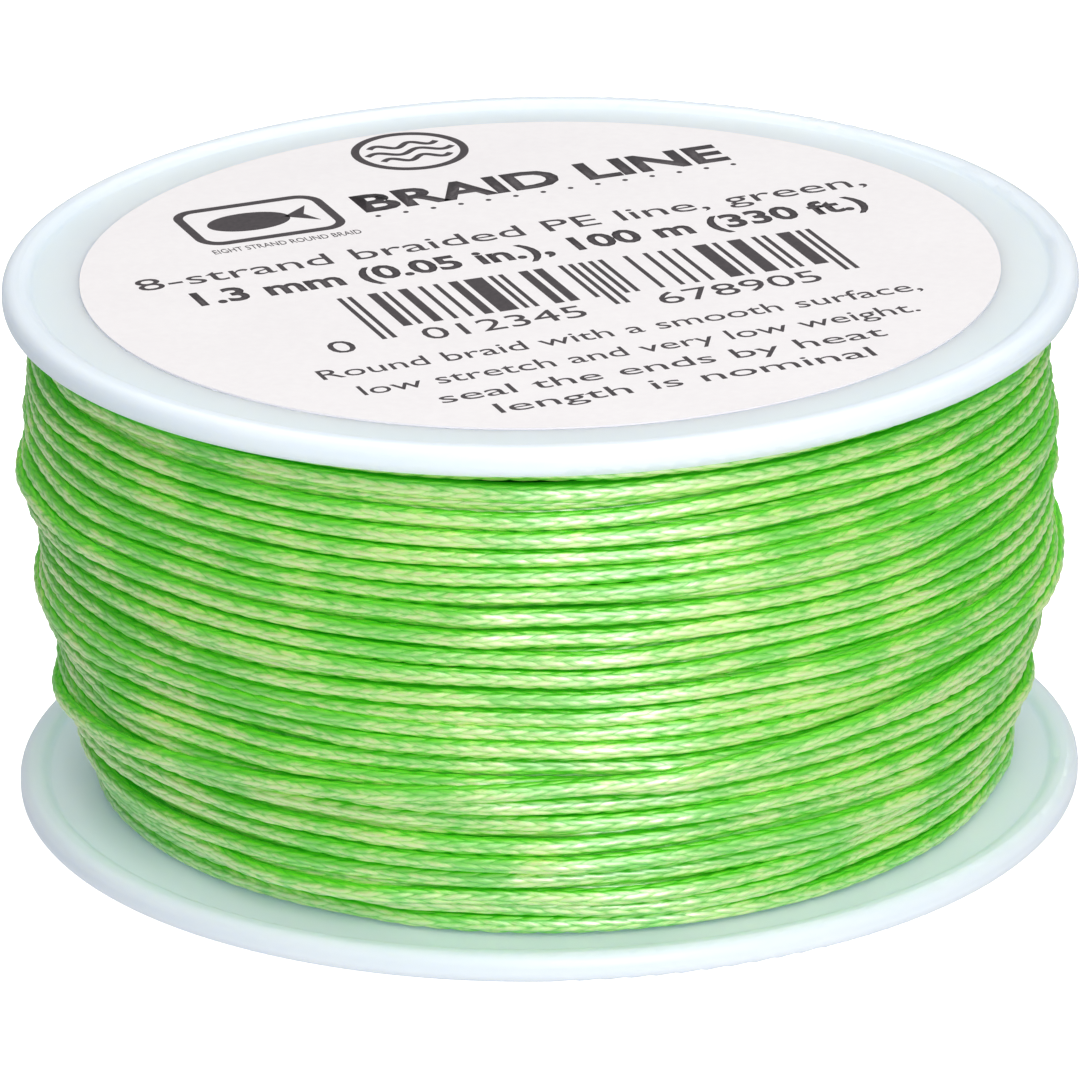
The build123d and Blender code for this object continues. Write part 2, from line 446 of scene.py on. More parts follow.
def wind():
    """Winds all turns. Returns heights and radii along the line, and the finished pack."""
    guide = guide_heights().reshape(-1, STEPS)
    start_r = np.interp(cell_z, RIDGE_Z, RIDGE_R) - (LAYERS + 0.4) * LAYER_RISE
    pack = np.repeat(start_r[None], STEPS, 0)
    z, radius = [guide[0]], [np.full(STEPS, start_r[-1] + HALF_T)]
    for turn in guide:
        new_z, new_r = lay_turn(pack, turn, z[-1], radius[-1])
        raise_pack(pack, new_z, new_r)
        z.append(new_z)
        radius.append(new_r)
    return np.concatenate(z[1:]), np.concatenate(radius[1:]), pack


line_z, line_r, pack = wind()
print("turns wound:", len(line_z) // STEPS)

# %% [markdown]
# A simulated pack grows a little thicker than the count of layers says, because turns cross and
# leave gaps. So the result is shifted in, by an amount that depends only on the height, until
# the usual crest at each height is where the design has it. Bumps and hollows stay.

# %% Fit the pack to the designed profile
inside = (cell_z > LOWEST) & (cell_z < HIGHEST)
usual_crest = smoothed(np.percentile(pack[:, inside], 72, axis=0), 61)
designed = np.interp(cell_z[inside], RIDGE_Z, RIDGE_R)
too_thick = usual_crest + (LINE_HALF_T - HALF_T) - designed
LIMIT_R = FLANGE_R - 0.35
shown_r = line_r - np.interp(line_z, cell_z[inside], too_thick)
shown_r = smoothed(shown_r, 7)
shown_r = np.minimum(shown_r, LIMIT_R - LINE_HALF_T)
print("thicker by, mm:", np.round(too_thick[::120], 2))
print("largest radius, mm:", round(shown_r.max() + LINE_HALF_T, 2))

# %% [markdown]
# Only some of the buried line can be seen. A stretch shows if some of its width is still the
# top of the pack at the end. Those stretches get the full braid, and the rest of the last three
# layers is a plain tube, which keeps the mesh a sensible size.

# %% Which stretches show
SHOWN_TURNS = 2 * TURNS + LAST_FULL_TURNS + 1
SHARE_SEEN = 0.10


def seen(z, radius):
    """True at each place where enough of the line's width is the top of the pack."""
    column = np.rint((z - WOUND_LOW) / CELL - 0.5).astype(int)
    row = np.arange(len(z)) % STEPS
    on_top = np.zeros(len(z))
    for cell, rise in zip(arc_cells, line_arc):
        there = np.clip(column + cell, 0, pack.shape[1] - 1)
        on_top += radius + rise >= pack[row, there] - 1e-6
    return on_top / len(arc_cells) > SHARE_SEEN


def widened(flags, reach):
    """Flags set for reach places more at both ends of each run."""
    return np.convolve(flags, np.ones(2 * reach + 1), "same") > 0.5


first = len(line_z) - SHOWN_TURNS * STEPS
shows = widened(seen(line_z[first:], line_r[first:]), 9)
shows = ~widened(~shows, 5) | shows
print("turns of braid that show:", round(shows.sum() / STEPS, 1), "of", SHOWN_TURNS)

# %% [markdown]
# ## From a path to a braided line
# A path is a chain of points with three values on each: the place along the line, the slow roll
# of the braid, and the girth, which falls off only at a cut end. The geometry tree turns the
# chain into a curve, spaces its points evenly, sweeps a ring along it, and then moves every
# ring point out by the braid formula. More ring points are crowded on the outer side, where
# they are seen. The same tree with a coarse spacing makes the hidden stretches.

# %% A geometry tree with named inputs
def geometry_tree(name, **inputs):
    """A tree with geometry in and out, and one named input for each size. Returns the tree, its
    input sockets and a function that closes it."""
    kinds = {int: "NodeSocketInt", float: "NodeSocketFloat"}
    tree = bpy.data.node_groups.new(name, "GeometryNodeTree")
    tree.interface.new_socket("Path", in_out="INPUT", socket_type="NodeSocketGeometry")
    for word, value in inputs.items():
        label = word.replace("_", " ")
        socket = tree.interface.new_socket(label, in_out="INPUT", socket_type=kinds[type(value)])
        socket.default_value = value
    tree.interface.new_socket("Finish", in_out="INPUT", socket_type="NodeSocketMaterial")
    tree.interface.new_socket("Piece", in_out="OUTPUT", socket_type="NodeSocketGeometry")
    start = add(tree, "NodeGroupInput")

    def close(geometry):
        real = add(tree, "GeometryNodeRealizeInstances", values={"Geometry": geometry}).outputs[0]
        values = {"Geometry": real, "Material": start.outputs["Finish"]}
        painted = add(tree, "GeometryNodeSetMaterial", values=values).outputs[0]
        add(tree, "NodeGroupOutput", values={"Piece": painted})

    return tree, start.outputs, close


def named(tree, word):
    """A number that the path carries under this name."""
    node = add(tree, "GeometryNodeInputNamedAttribute", {"data_type": "FLOAT"}, {"Name": word})
    return Num(tree, node.outputs["Attribute"])


# %% The braiding tree
# The finish paints a pale reflection of the white table on the side this far below the outermost
# point.
SHEEN_SIDE_BELOW = 0.35      # radians below the outermost point, the side that faces the floor
CROWDING = 0.42        # how much closer the ring points lie on the outer side


def braiding_tree():
    tree, size, close = geometry_tree("braiding", Spacing=0.25 * MM, Sides=16, Relief=1.0,
                                      Half_width=LINE_HALF_W * MM, Half_thickness=LINE_HALF_T * MM)
    curve = add(tree, "GeometryNodeMeshToCurve", values={"Mesh": size["Path"]}).outputs[0]
    values = {"Curve": curve, "Length": size["Spacing"]}
    curve = add(tree, "GeometryNodeResampleCurve", {"mode": "LENGTH"}, values).outputs[0]
    curve = add(tree, "GeometryNodeSetCurveNormal", {"mode": "Z_UP"}, {"Curve": curve}).outputs[0]
    keep = tree.nodes.new("GeometryNodeCaptureAttribute")
    keep.capture_items.new("VECTOR", "centre")
    place = add(tree, "GeometryNodeInputPosition").outputs[0]
    connect(tree, keep.inputs["Geometry"], curve)
    connect(tree, keep.inputs["centre"], place)
    values = {"Resolution": size["Sides"], "Radius": 0.5 * MM}
    ring = add(tree, "GeometryNodeCurvePrimitiveCircle", {"mode": "RADIUS"}, values).outputs["Curve"]
    values = {"Curve": keep.outputs["Geometry"], "Profile Curve": ring, "Fill Caps": True}
    tube = add(tree, "GeometryNodeCurveToMesh", values=values).outputs[0]
    # angle round the line: 0 faces away from the bobbin's axis
    x, y, z = parts_of(tree, place)
    cx, cy, cz = parts_of(tree, keep.outputs["centre"])
    radius = (cx * cx + cy * cy).math("SQRT")
    out_x, out_y = cx / radius, cy / radius
    outward = (x - cx) * out_x + (y - cy) * out_y
    even = (z - cz).math("ARCTAN2", outward)
    angle = even - even.math("SINE") * CROWDING
    cosine, sine = angle.math("COSINE"), angle.math("SINE")
    turn = (angle - named(tree, "roll")) / TAU
    height = braid(tree, turn, named(tree, "lays"))[0] - (STRAND_CROWN + STRAND_WEAVE)
    swell = height * Num(tree, size["Relief"]) * MM
    girth = named(tree, "girth")
    out = (swell + Num(tree, size["Half thickness"])) * girth * cosine
    up = (swell + Num(tree, size["Half width"])) * girth * sine
    moved = joined(tree, cx + out_x * out, cy + out_y * out, cz + up)
    lay = joined(tree, named(tree, "lays"), (turn * TAU).math("COSINE"), (turn * TAU).math("SINE"))
    # How far a place faces out and a little down; the finish paints a pale reflection of the white
    # table there.
    outside = (angle + SHEEN_SIDE_BELOW).math("COSINE")
    marked = tube
    for word, kind, value in (("lay", "FLOAT_VECTOR", lay), ("outside", "FLOAT", outside)):
        settings = {"data_type": kind, "domain": "POINT"}
        values = {"Geometry": marked, "Name": word, "Value": value}
        marked = add(tree, "GeometryNodeStoreNamedAttribute", settings, values).outputs[0]
    values = {"Geometry": marked, "Position": moved}
    shaped = add(tree, "GeometryNodeSetPosition", values=values).outputs[0]
    for word in ("lays", "roll", "girth"):
        values = {"Geometry": shaped, "Name": word}
        shaped = add(tree, "GeometryNodeRemoveAttribute", values=values).outputs[0]
    close(shaped)
    return tree


BRAIDING = braiding_tree()
print("nodes in the braiding tree:", len(BRAIDING.nodes))


# %% Run a tree on a path
def in_scene(name, data):
    """A new object that holds this data, in the scene."""
    made = bpy.data.objects.new(name, data)
    bpy.context.scene.collection.objects.link(made)
    return made


def path_mesh(name, chains, **values):
    """Chains of (x, y, z) points in mm as one mesh, with a named value for each point."""
    mesh = bpy.data.meshes.new(name)
    edges, count = [], 0
    for chain in chains:
        edges += [(count + i, count + i + 1) for i in range(len(chain) - 1)]
        count += len(chain)
    mesh.from_pydata((np.concatenate(chains) * MM).tolist(), edges, [])
    for word, numbers in values.items():
        layer = mesh.attributes.new(word, "FLOAT", "POINT")
        layer.data.foreach_set("value", np.concatenate(numbers).astype(np.float32))
    return mesh


def grown(name, path, tree, finish_of, sizes=None):
    """The plain mesh piece that a geometry tree makes from a path."""
    piece = in_scene(name, path)
    modifier = piece.modifiers.new("grow", "NODES")
    modifier.node_group = tree
    sizes = {"Finish": finish_of, **(sizes or {})}
    for socket in tree.interface.items_tree:
        if socket.in_out == "INPUT" and socket.name in sizes:
            modifier[socket.identifier] = sizes[socket.name]
    graph = bpy.context.evaluated_depsgraph_get()
    mesh = bpy.data.meshes.new_from_object(piece.evaluated_get(graph),
                                           preserve_all_data_layers=True, depsgraph=graph)
    piece.modifiers.remove(modifier)
    piece.data = mesh
    mesh.name = name
    return piece


def of_the_object(piece, slot, *nodes):
    """Rides a finished piece on the only body and hides the CAD nodes it stands for; the slot is not
    used.
    """
    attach(piece, "root")
    if nodes:
        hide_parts(*nodes)
    return piece


# %% Where the line runs
TUCK_PLACES = 9        # the last places, over which the line sinks between two turns
TUCK_DEPTH = 1.2       # mm, out of sight
turn_of = np.arange(len(line_z)) / STEPS
sunk = np.clip(1 - (len(line_z) - 1 - np.arange(len(line_z))) / TUCK_PLACES, 0, 1)
shown_r = shown_r - TUCK_DEPTH * sunk * sunk * (3 - 2 * sunk)
azimuth = np.radians(TAIL_FROM) + TAU * turn_of
line_points = np.stack([shown_r * np.cos(azimuth), shown_r * np.sin(azimuth), line_z], 1)
steps_mm = np.linalg.norm(np.diff(line_points, axis=0, prepend=line_points[:1]), axis=1)
line_lays = np.cumsum(steps_mm) / BRAID_LAY
line_roll = 1.3 * slow_noise(len(line_z), 0.35 * STEPS)
shown_mm = steps_mm[first:]
print("line in the last three layers, m:", round(shown_mm.sum() * MM, 1))
print("of which braided in full, m:", round(shown_mm[shows].sum() * MM, 1))


def cut_line(begin, stop):
    """One stretch of the line, from one place to another, as points and values."""
    s = slice(begin, stop)
    return line_points[s], line_lays[s] - line_lays[first], line_roll[s], np.ones(stop - begin)


def runs(flags, offset, longest):
    """Pairs of first and last place of each run of True, none longer than longest."""
    edges = np.flatnonzero(np.diff(np.concatenate([[False], flags, [False]]).astype(int)))
    found = []
    for begin, stop in zip(edges[::2], edges[1::2]):
        cuts = list(range(begin, stop - 1, longest)) + [stop]
        found += [(offset + a, offset + min(b + 1, stop)) for a, b in zip(cuts[:-1], cuts[1:])]
    return found


def bundles(stretches, most):
    """Stretches in lists, each with no more places than most."""
    lists, count = [[]], 0
    for begin, stop in stretches:
        if count + stop - begin > most and lists[-1]:
            lists.append([])
            count = 0
        lists[-1].append(cut_line(begin, stop))
        count += stop - begin
    return lists


def line_pieces(name, stretches, most, sizes):
    """Pieces of line, each from a bundle of stretches."""
    made = []
    for number, bundle in enumerate(bundles(stretches, most), 1):
        points, lays, roll, girth = zip(*bundle)
        path = path_mesh(name, points, lays=lays, roll=roll, girth=girth)
        piece = grown(f"{name}_{number:02d}", path, BRAIDING, GREEN_BRAID, sizes)
        made.append(of_the_object(piece, "braided_line", "line_outer_layers"))
    return made


# %% The turns that show, and those beneath them
fine = line_pieces("wound_line", runs(shows, first, 2200), 2400, {"Spacing": 0.25 * MM, "Sides": 16})
coarse = line_pieces("buried_line", runs(widened(~shows, 1), first, 9000), 20000,
                     {"Spacing": 1.6 * MM, "Sides": 8, "Relief": 0.0})
for group in (fine, coarse):
    sizes = [sum(len(p.vertices) - 2 for p in piece.data.polygons) for piece in group]
    print(group[0].name, "pieces:", len(group), "triangles:", sum(sizes), "largest:", max(sizes))

# %% [markdown]
# Under the last three layers lies the rest of the line, 84 metres of it, which can't be seen
# except as dark green at the bottom of a deep groove. A turned ring with one round ridge for
# each turn closes those grooves.

# %% The buried layers
def turned(name, outline, finish_of, steps=180):
    """A closed outline of (radius, height) points in mm, swept once round the axis."""
    outline = np.array(outline)
    around = TAU * np.arange(steps) / steps
    x = np.outer(np.cos(around), outline[:, 0])
    y = np.outer(np.sin(around), outline[:, 0])
    z = np.repeat(outline[None, :, 1], steps, 0)
    points = np.stack([x, y, z], 2).reshape(-1, 3)
    count = len(outline)
    faces = []
    for step in range(steps):
        here, there = step * count, (step + 1) % steps * count
        for i in range(count):
            j = (i + 1) % count
            faces.append((here + i, there + i, there + j, here + j))
    mesh = bpy.data.meshes.new(name)
    mesh.from_pydata((points * MM).tolist(), [], faces)
    mesh.materials.append(finish_of)
    mesh.shade_smooth()
    mesh.set_sharp_from_angle(angle=math.radians(40))
    return in_scene(name, mesh)


def buried_outline():
    """Half section of the buried layers: a flat inside and a round ridge for each turn."""
    depth = 3 * LAYER_RISE + LINE_HALF_T
    outline = [(INNER_R - 0.6, WOUND_LOW + 0.02)]
    for z, radius in zip(RIDGE_Z, RIDGE_R):
        for k in range(5):
            lean = (k - 2) / 2.5
            crown = math.sqrt(1 - lean * lean)
            outline.append((radius - depth - 0.5 + 0.5 * crown, z + lean * PITCH / 2))
    outline.append((INNER_R - 0.6, WOUND_HIGH - 0.02))
    return outline


def shade_darkened_green():
    """The line where it is shut away from the light, its green painted darker as painted shade."""
    made, tree, surface = finish("buried_green", Roughness=0.6, IOR=1.5)
    place = place_on(tree)
    mottle = noise(tree, place, 700.0)
    # The green here is far darker than the line's own: painted shade.
    shade = ramp(tree, mottle, (0.3, (0.002, 0.085, 0.004)), (0.7, (0.012, 0.20, 0.010)))
    connect(tree, surface.inputs["Base Color"], shade)
    bumped(tree, surface, mottle, 0.2 * MM)
    return made


BURIED_GREEN = shade_darkened_green()
buried = turned("buried_layers", buried_outline(), BURIED_GREEN)
of_the_object(buried, "braided_line", "line_outer_layers")
print("buried layers out to, mm:", round(max(r for r, _ in buried_outline()), 2))

# %% [markdown]
# The last end of the line is tucked: it is pressed down between two turns, where it is out of
# sight, and comes up again round the back. The same tree makes it. Its girth falls off over the
# last millimetre, where a hot knife has sealed the strands together.

# %% The free end
def free_end():
    """Path of the free end, from the last wound place to the cut."""
    angles = np.radians(np.arange(TAIL_FROM, TAIL_TO - 1.2, 0.5))
    z_from, r_from = line_z[-1], shown_r[-1]
    share = np.clip((angles - angles[0]) / math.radians(5), 0, 1)
    ease = share * share * (3 - 2 * share)
    z = z_from + (TAIL_Z - z_from) * ease
    radius = r_from + (TAIL_R - r_from) * ease
    points = np.stack([radius * np.cos(angles), radius * np.sin(angles), z], 1)
    to_cut = (angles[-1] - angles) * TAIL_R
    lays = line_lays[-1] - line_lays[first] + (angles - angles[0]) * TAIL_R / BRAID_LAY
    girth = np.sqrt(np.clip(1 - np.clip(1 - to_cut / 0.7, 0, 1) ** 2, 0.12, 1))
    return points, lays, np.full(len(angles), line_roll[-1]), girth


points, lays, roll, girth = free_end()
end_path = path_mesh("free_end", [points], lays=[lays], roll=[roll], girth=[girth])
end_sizes = {"Spacing": 0.2 * MM, "Sides": 20}
end_piece = grown("free_end", end_path, BRAIDING, GREEN_BRAID, end_sizes)
of_the_object(end_piece, "braided_line", "line_end")
print("free end, mm:", round(np.linalg.norm(np.diff(points, axis=0), axis=1).sum(), 1))

# %% [markdown]
# ## The bobbin's plastic
# Bobbins like this are moulded in natural polypropylene, which is milky and faintly blue. It
# could be made with volume scattering, but that is slow and the wall is thin. A subsurface
# share gives the soft edge. A faint long wave in the surface gives the sink and flow that
# moulded faces have, and fine grain breaks up the gloss. A very faint blue emission is painted
# light: the plastic glows a little blue of itself.

# %% Milky plastic
def milky_plastic():
    # The emission is painted light: the plastic glows faintly blue of itself.
    made, tree, surface = finish("milky_plastic", IOR=1.49, Subsurface_Weight=0.9,
                                 Subsurface_Radius=(0.9, 0.95, 1.15), Subsurface_Scale=3.0 * MM,
                                 Emission_Color=(0.02, 0.028, 0.06, 1), Emission_Strength=1.0)
    place = place_on(tree)
    cloud = noise(tree, place, 70.0)
    grain = noise(tree, place, 2400.0, 3.0)
    shade = ramp(tree, cloud, (0.35, (0.745, 0.825, 0.945)), (0.65, (0.768, 0.838, 0.955)))
    connect(tree, surface.inputs["Base Color"], shade)
    connect(tree, surface.inputs["Roughness"], grain * 0.10 + 0.30)
    bumped(tree, surface, noise(tree, place, 150.0) + grain * 0.05, 0.06 * MM, 0.5)
    return made


MILKY_PLASTIC = milky_plastic()
print("finish:", MILKY_PLASTIC.name)

# %% [markdown]
# ## Paper
# The label is white coated paper. Its fibres show as a very fine mottle, and its face is matt
# with the least sheen. The strip of tape round the drum is the same sort of paper, creped.

# %% Label paper and creped tape
def label_paper():
    made, tree, surface = finish("label_paper", IOR=1.45)
    place = place_on(tree)
    fibre = noise(tree, place, 1800.0, 4.0)
    blotch = noise(tree, place, 120.0)
    share = fibre * 0.6 + blotch * 0.4
    shade = ramp(tree, share, (0.35, (0.830, 0.800, 0.808)), (0.65, (0.858, 0.832, 0.836)))
    connect(tree, surface.inputs["Base Color"], shade)
    connect(tree, surface.inputs["Roughness"], fibre * 0.15 + 0.48)
    bumped(tree, surface, fibre, 0.012 * MM, 0.6)
    return made


def creped_tape():
    made, tree, surface = finish("creped_tape", IOR=1.45, Roughness=0.7)
    place = place_on(tree)
    x, y, z = parts_of(tree, place)
    crepe = noise(tree, joined(tree, x * 400, y * 400, z * 2600), 1.0, 3.0)
    shade = ramp(tree, crepe, (0.3, (0.62, 0.52, 0.33)), (0.7, (0.74, 0.65, 0.45)))
    connect(tree, surface.inputs["Base Color"], shade)
    bumped(tree, surface, crepe, 0.05 * MM)
    return made


PAPER = label_paper()
FINISHES = {
    "lower_flange": MILKY_PLASTIC, "upper_flange": MILKY_PLASTIC, "hub_core": MILKY_PLASTIC,
    "top_label": PAPER, "start_tape": creped_tape(),
    "line_start": BURIED_GREEN, "line_inner_layers": BURIED_GREEN,
}
for node, made in FINISHES.items():
    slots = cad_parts[node].data.materials
    slots.clear()
    slots.append(made)
print("CAD nodes finished:", len(FINISHES))

# %% [markdown]
# ## The print on the label
# The label has a heading, two lines of facts, a bar code, four small lines and two small
# pictures, all in soft black. They are turned a little against the bobbin's axes. The words
# are plain facts about the line and the bars are a practice code, so the print names nobody.
# Each line of text is fitted to its own length and height of capitals, then made a thin mesh
# lying on the paper.

# %% Ink, and a way to lay shapes on the label
PRINT_TURN = math.radians(21.3)
INK_T = 0.012
INK_Z = LABEL_TOP + INK_T / 2
CAPITAL = 0.73         # height of a capital in this font, at size 1


def soft_black():
    made, tree, surface = finish("soft_black_ink", IOR=1.45)
    place = place_on(tree)
    speckle = noise(tree, place, 3000.0, 2.0)
    shade = ramp(tree, speckle, (0.3, (0.040, 0.034, 0.038)), (0.8, (0.075, 0.062, 0.068)))
    connect(tree, surface.inputs["Base Color"], shade)
    connect(tree, surface.inputs["Roughness"], speckle * 0.2 + 0.45)
    return made


INK = soft_black()
print("ink lies at, mm:", round(INK_Z, 3))


def lay_on_label(mesh):
    """Turns a flat mesh, made in mm about the label's middle, into its place on the label."""
    turned_print = Matrix.Translation((0, 0, INK_Z)) @ Matrix.Rotation(PRINT_TURN, 4, "Z")
    mesh.transform(Matrix.Scale(MM, 4) @ turned_print)


def printed_text(name, words, left, right, base, capital, weight=0.0):
    """One line of text from left to right on a base line, with capitals of this height."""
    curve = bpy.data.curves.new(name, "FONT")
    curve.body = words
    curve.size = 1.0
    curve.offset = weight
    curve.resolution_u = 3
    letters = in_scene(name, curve)
    graph = bpy.context.evaluated_depsgraph_get()
    flat = bpy.data.meshes.new_from_object(letters.evaluated_get(graph))
    bpy.data.objects.remove(letters)
    points = np.array([v.co for v in flat.vertices])
    width = np.ptp(points[:, 0])
    fit = Matrix.Diagonal(((right - left) / width, capital / CAPITAL, 1, 1))
    to_zero = Matrix.Translation((-points[:, 0].min(), 0, 0))
    flat.transform(Matrix.Translation((left, base, 0)) @ fit @ to_zero)
    return thick_print(name, flat)


def in_fixed_order(mesh):
    """Puts a mesh's points and faces in an order that is the same on every run."""
    points = [tuple(v.co) for v in mesh.vertices]
    order = sorted(range(len(points)), key=points.__getitem__)
    rank = {old: new for new, old in enumerate(order)}
    faces = []
    for face in mesh.polygons:
        ring = [rank[i] for i in face.vertices]
        start = ring.index(min(ring))
        faces.append(ring[start:] + ring[:start])
    smooth = mesh.polygons[0].use_smooth
    mesh.clear_geometry()
    mesh.from_pydata([points[i] for i in order], [], sorted(faces))
    if smooth:
        mesh.shade_smooth()


def thick_print(name, flat):
    """A flat outline mesh given the thickness of ink and laid on the label."""
    work = bmesh.new()
    work.from_mesh(flat)
    bmesh.ops.remove_doubles(work, verts=work.verts, dist=1e-5)
    bmesh.ops.recalc_face_normals(work, faces=work.faces)
    for face in work.faces:
        if face.normal.z < 0:
            face.normal_flip()
    whole = bmesh.ops.extrude_face_region(work, geom=work.faces[:])
    top = [g for g in whole["geom"] if isinstance(g, bmesh.types.BMVert)]
    bmesh.ops.translate(work, verts=top, vec=(0, 0, INK_T))
    bmesh.ops.translate(work, verts=work.verts, vec=(0, 0, -INK_T / 2))
    bmesh.ops.recalc_face_normals(work, faces=work.faces)
    work.to_mesh(flat)
    work.free()
    in_fixed_order(flat)
    flat.materials.clear()
    flat.materials.append(INK)
    lay_on_label(flat)
    return of_the_object(in_scene(name, flat), "label_paper")


# %% The lines of text
TEXTS = [
    ("heading", "BRAID LINE", -6.9, 21.5, 16.5, 3.7, 0.035),
    ("fact_strands", "8-strand braided PE line, green,", -27.3, 28.2, 7.0, 2.5, 0.0),
    ("fact_length", "1.3 mm (0.05 in.), 100 m (330 ft.)", -24.5, 26.5, 2.5, 2.8, 0.03),
    ("small_line_1", "Round braid with a smooth surface,", -22.0, 22.8, -15.3, 2.0, 0.0),
    ("small_line_2", "low stretch and very low weight.", -20.5, 20.9, -19.3, 2.0, 0.0),
    ("small_line_3", "seal the ends by heat", -16.2, 16.8, -23.0, 2.0, 0.0),
    ("small_line_4", "length is nominal", -13.3, 14.5, -26.4, 2.0, 0.0),
    ("caption", "EIGHT STRAND ROUND BRAID", -19.9, -8.7, 12.3, 0.9, 0.0),
]
for line_of_text in TEXTS:
    printed_text(*line_of_text)
print("lines of text:", len(TEXTS))

# %% [markdown]
# Bars and dots repeat, so a geometry tree stamps them: one cube or one flat cylinder is put on
# each point of a path and stretched to the width and length that the point carries. The bars
# follow the ordinary retail code, in which each digit is two bars and two gaps that add up to
# seven units.

# %% A stamping tree
def stamping_tree(name, kind, values):
    tree, size, close = geometry_tree(name, Thickness=INK_T)
    shape = add(tree, kind, values=values).outputs[0]
    scale = joined(tree, named(tree, "wide"), named(tree, "long"), size["Thickness"])
    values = {"Points": size["Path"], "Instance": shape, "Scale": scale}
    close(add(tree, "GeometryNodeInstanceOnPoints", values=values).outputs[0])
    return tree


STAMP_BARS = stamping_tree("stamp_bars", "GeometryNodeMeshCube", {})
DISC = {"Vertices": 24, "Radius": 0.5, "Depth": 1.0}
STAMP_DOTS = stamping_tree("stamp_dots", "GeometryNodeMeshCylinder", DISC)


def stamped(name, tree, centres, wide, long):
    """A piece of repeated shapes on the label, each with its own width and length in mm."""
    centres = np.array([(x, y, 0) for x, y in centres], float)
    path = path_mesh(name, [centres / MM], wide=[np.array(wide)], long=[np.array(long)])
    piece = grown(name, path, tree, INK)
    lay_on_label(piece.data)
    return of_the_object(piece, "label_paper")


# %% The bar code and its digits
WIDTHS = {"0": "3211", "1": "2221", "2": "2122", "3": "1411", "4": "1132",
          "5": "1231", "6": "1114", "7": "1312", "8": "1213", "9": "3112"}
DIGITS = "0012345678905"
BARS_LEFT, BARS_RIGHT, BARS_TOP = -15.4, 20.6, -0.1
GUARD_FOOT, BAR_FOOT = -9.25, -7.34
INK_SPREAD = 0.94      # bars are printed a little narrow, because ink spreads


def bar_edges():
    """Each bar as (first unit, width in units, is a guard bar)."""
    half = [(WIDTHS[d], False) for d in DIGITS[1:7]]
    other = [(WIDTHS[d], False) for d in DIGITS[7:]]
    groups = [("0111", True), *half, ("11111", True), *other, ("111", True)]
    bars, unit = [], 0
    for number, (widths, guard) in enumerate(groups):
        dark = number > len(half) + 1    # past the middle guard, a group starts with a bar
        for width in widths:
            if dark and int(width):
                bars.append((unit, int(width), guard))
            unit += int(width)
            dark = not dark
    return bars, unit


bars, units = bar_edges()
unit_mm = (BARS_RIGHT - BARS_LEFT) / units
centres, wide, long = [], [], []
for begin, width, guard in bars:
    foot = GUARD_FOOT if guard else BAR_FOOT
    centres.append((BARS_LEFT + (begin + width / 2) * unit_mm, (BARS_TOP + foot) / 2))
    wide.append(width * unit_mm * INK_SPREAD)
    long.append(BARS_TOP - foot)
stamped("bar_code", STAMP_BARS, centres, wide, long)
printed_text("first_digit", DIGITS[0], -19.5, -17.6, -10.7, 2.5)
printed_text("left_digits", DIGITS[1:7], -12.5, -0.5, -10.7, 2.5)
printed_text("right_digits", DIGITS[7:], 5.1, 17.3, -10.7, 2.5)
DOTS, DOT_WIDTH = 14, 0.42
dot_sizes = [DOT_WIDTH] * DOTS
dot_places = [(x, 15.3) for x in np.linspace(-6.4, 21.2, DOTS)]
stamped("dotted_rule", STAMP_DOTS, dot_places, dot_sizes, dot_sizes)
print("bars:", len(bars), "units:", units)

# %% [markdown]
# Two small pictures sit beside the heading: waves in a ring, and a fish in a frame. Both are
# plain pictograms of this kind of goods. Each is drawn as strips of even width along a short
# centre line, which is how a pen would draw it.

# %% Two pictograms
def strip(centre, width, closed=False):
    """Points and faces of a flat strip of even width along a centre line, in mm."""
    centre = np.array(centre, float)
    if closed:
        along = np.roll(centre, -1, 0) - np.roll(centre, 1, 0)
    else:
        along = np.gradient(centre, axis=0)
    along /= np.linalg.norm(along, axis=1)[:, None]
    side = np.stack([-along[:, 1], along[:, 0]], 1) * width / 2
    count = len(centre)
    spans = count if closed else count - 1
    faces = [(i, (i + 1) % count, (i + 1) % count + count, i + count) for i in range(spans)]
    return np.concatenate([centre - side, centre + side]), faces


def pictogram(name, shapes):
    """One printed piece from several flat shapes."""
    points, faces = [], []
    for shape_points, shape_faces in shapes:
        base = sum(len(p) for p in points)
        points.append(shape_points)
        faces += [tuple(base + i for i in face) for face in shape_faces]
    points = np.concatenate(points)
    flat = bpy.data.meshes.new(name)
    flat.from_pydata(np.column_stack([points, np.zeros(len(points))]).tolist(), [], faces)
    return thick_print(name, flat)


def oval(centre, half_x, half_y, count=64):
    turn = TAU * np.arange(count) / count
    return np.stack([centre[0] + half_x * np.cos(turn), centre[1] + half_y * np.sin(turn)], 1)


def wave(centre, length, rise, crests):
    x = np.linspace(-length / 2, length / 2, 16 * crests)
    return np.stack([centre[0] + x, centre[1] + rise * np.sin(TAU * crests * x / length)], 1)


def rounded_frame(centre, half_x, half_y, corner):
    points = []
    for quarter, (sx, sy) in enumerate(((1, 1), (-1, 1), (-1, -1), (1, -1))):
        for k in range(9):
            a = math.radians(90 * quarter + 11.25 * k)
            points.append((centre[0] + sx * (half_x - corner) + corner * math.cos(a),
                           centre[1] + sy * (half_y - corner) + corner * math.sin(a)))
    return points


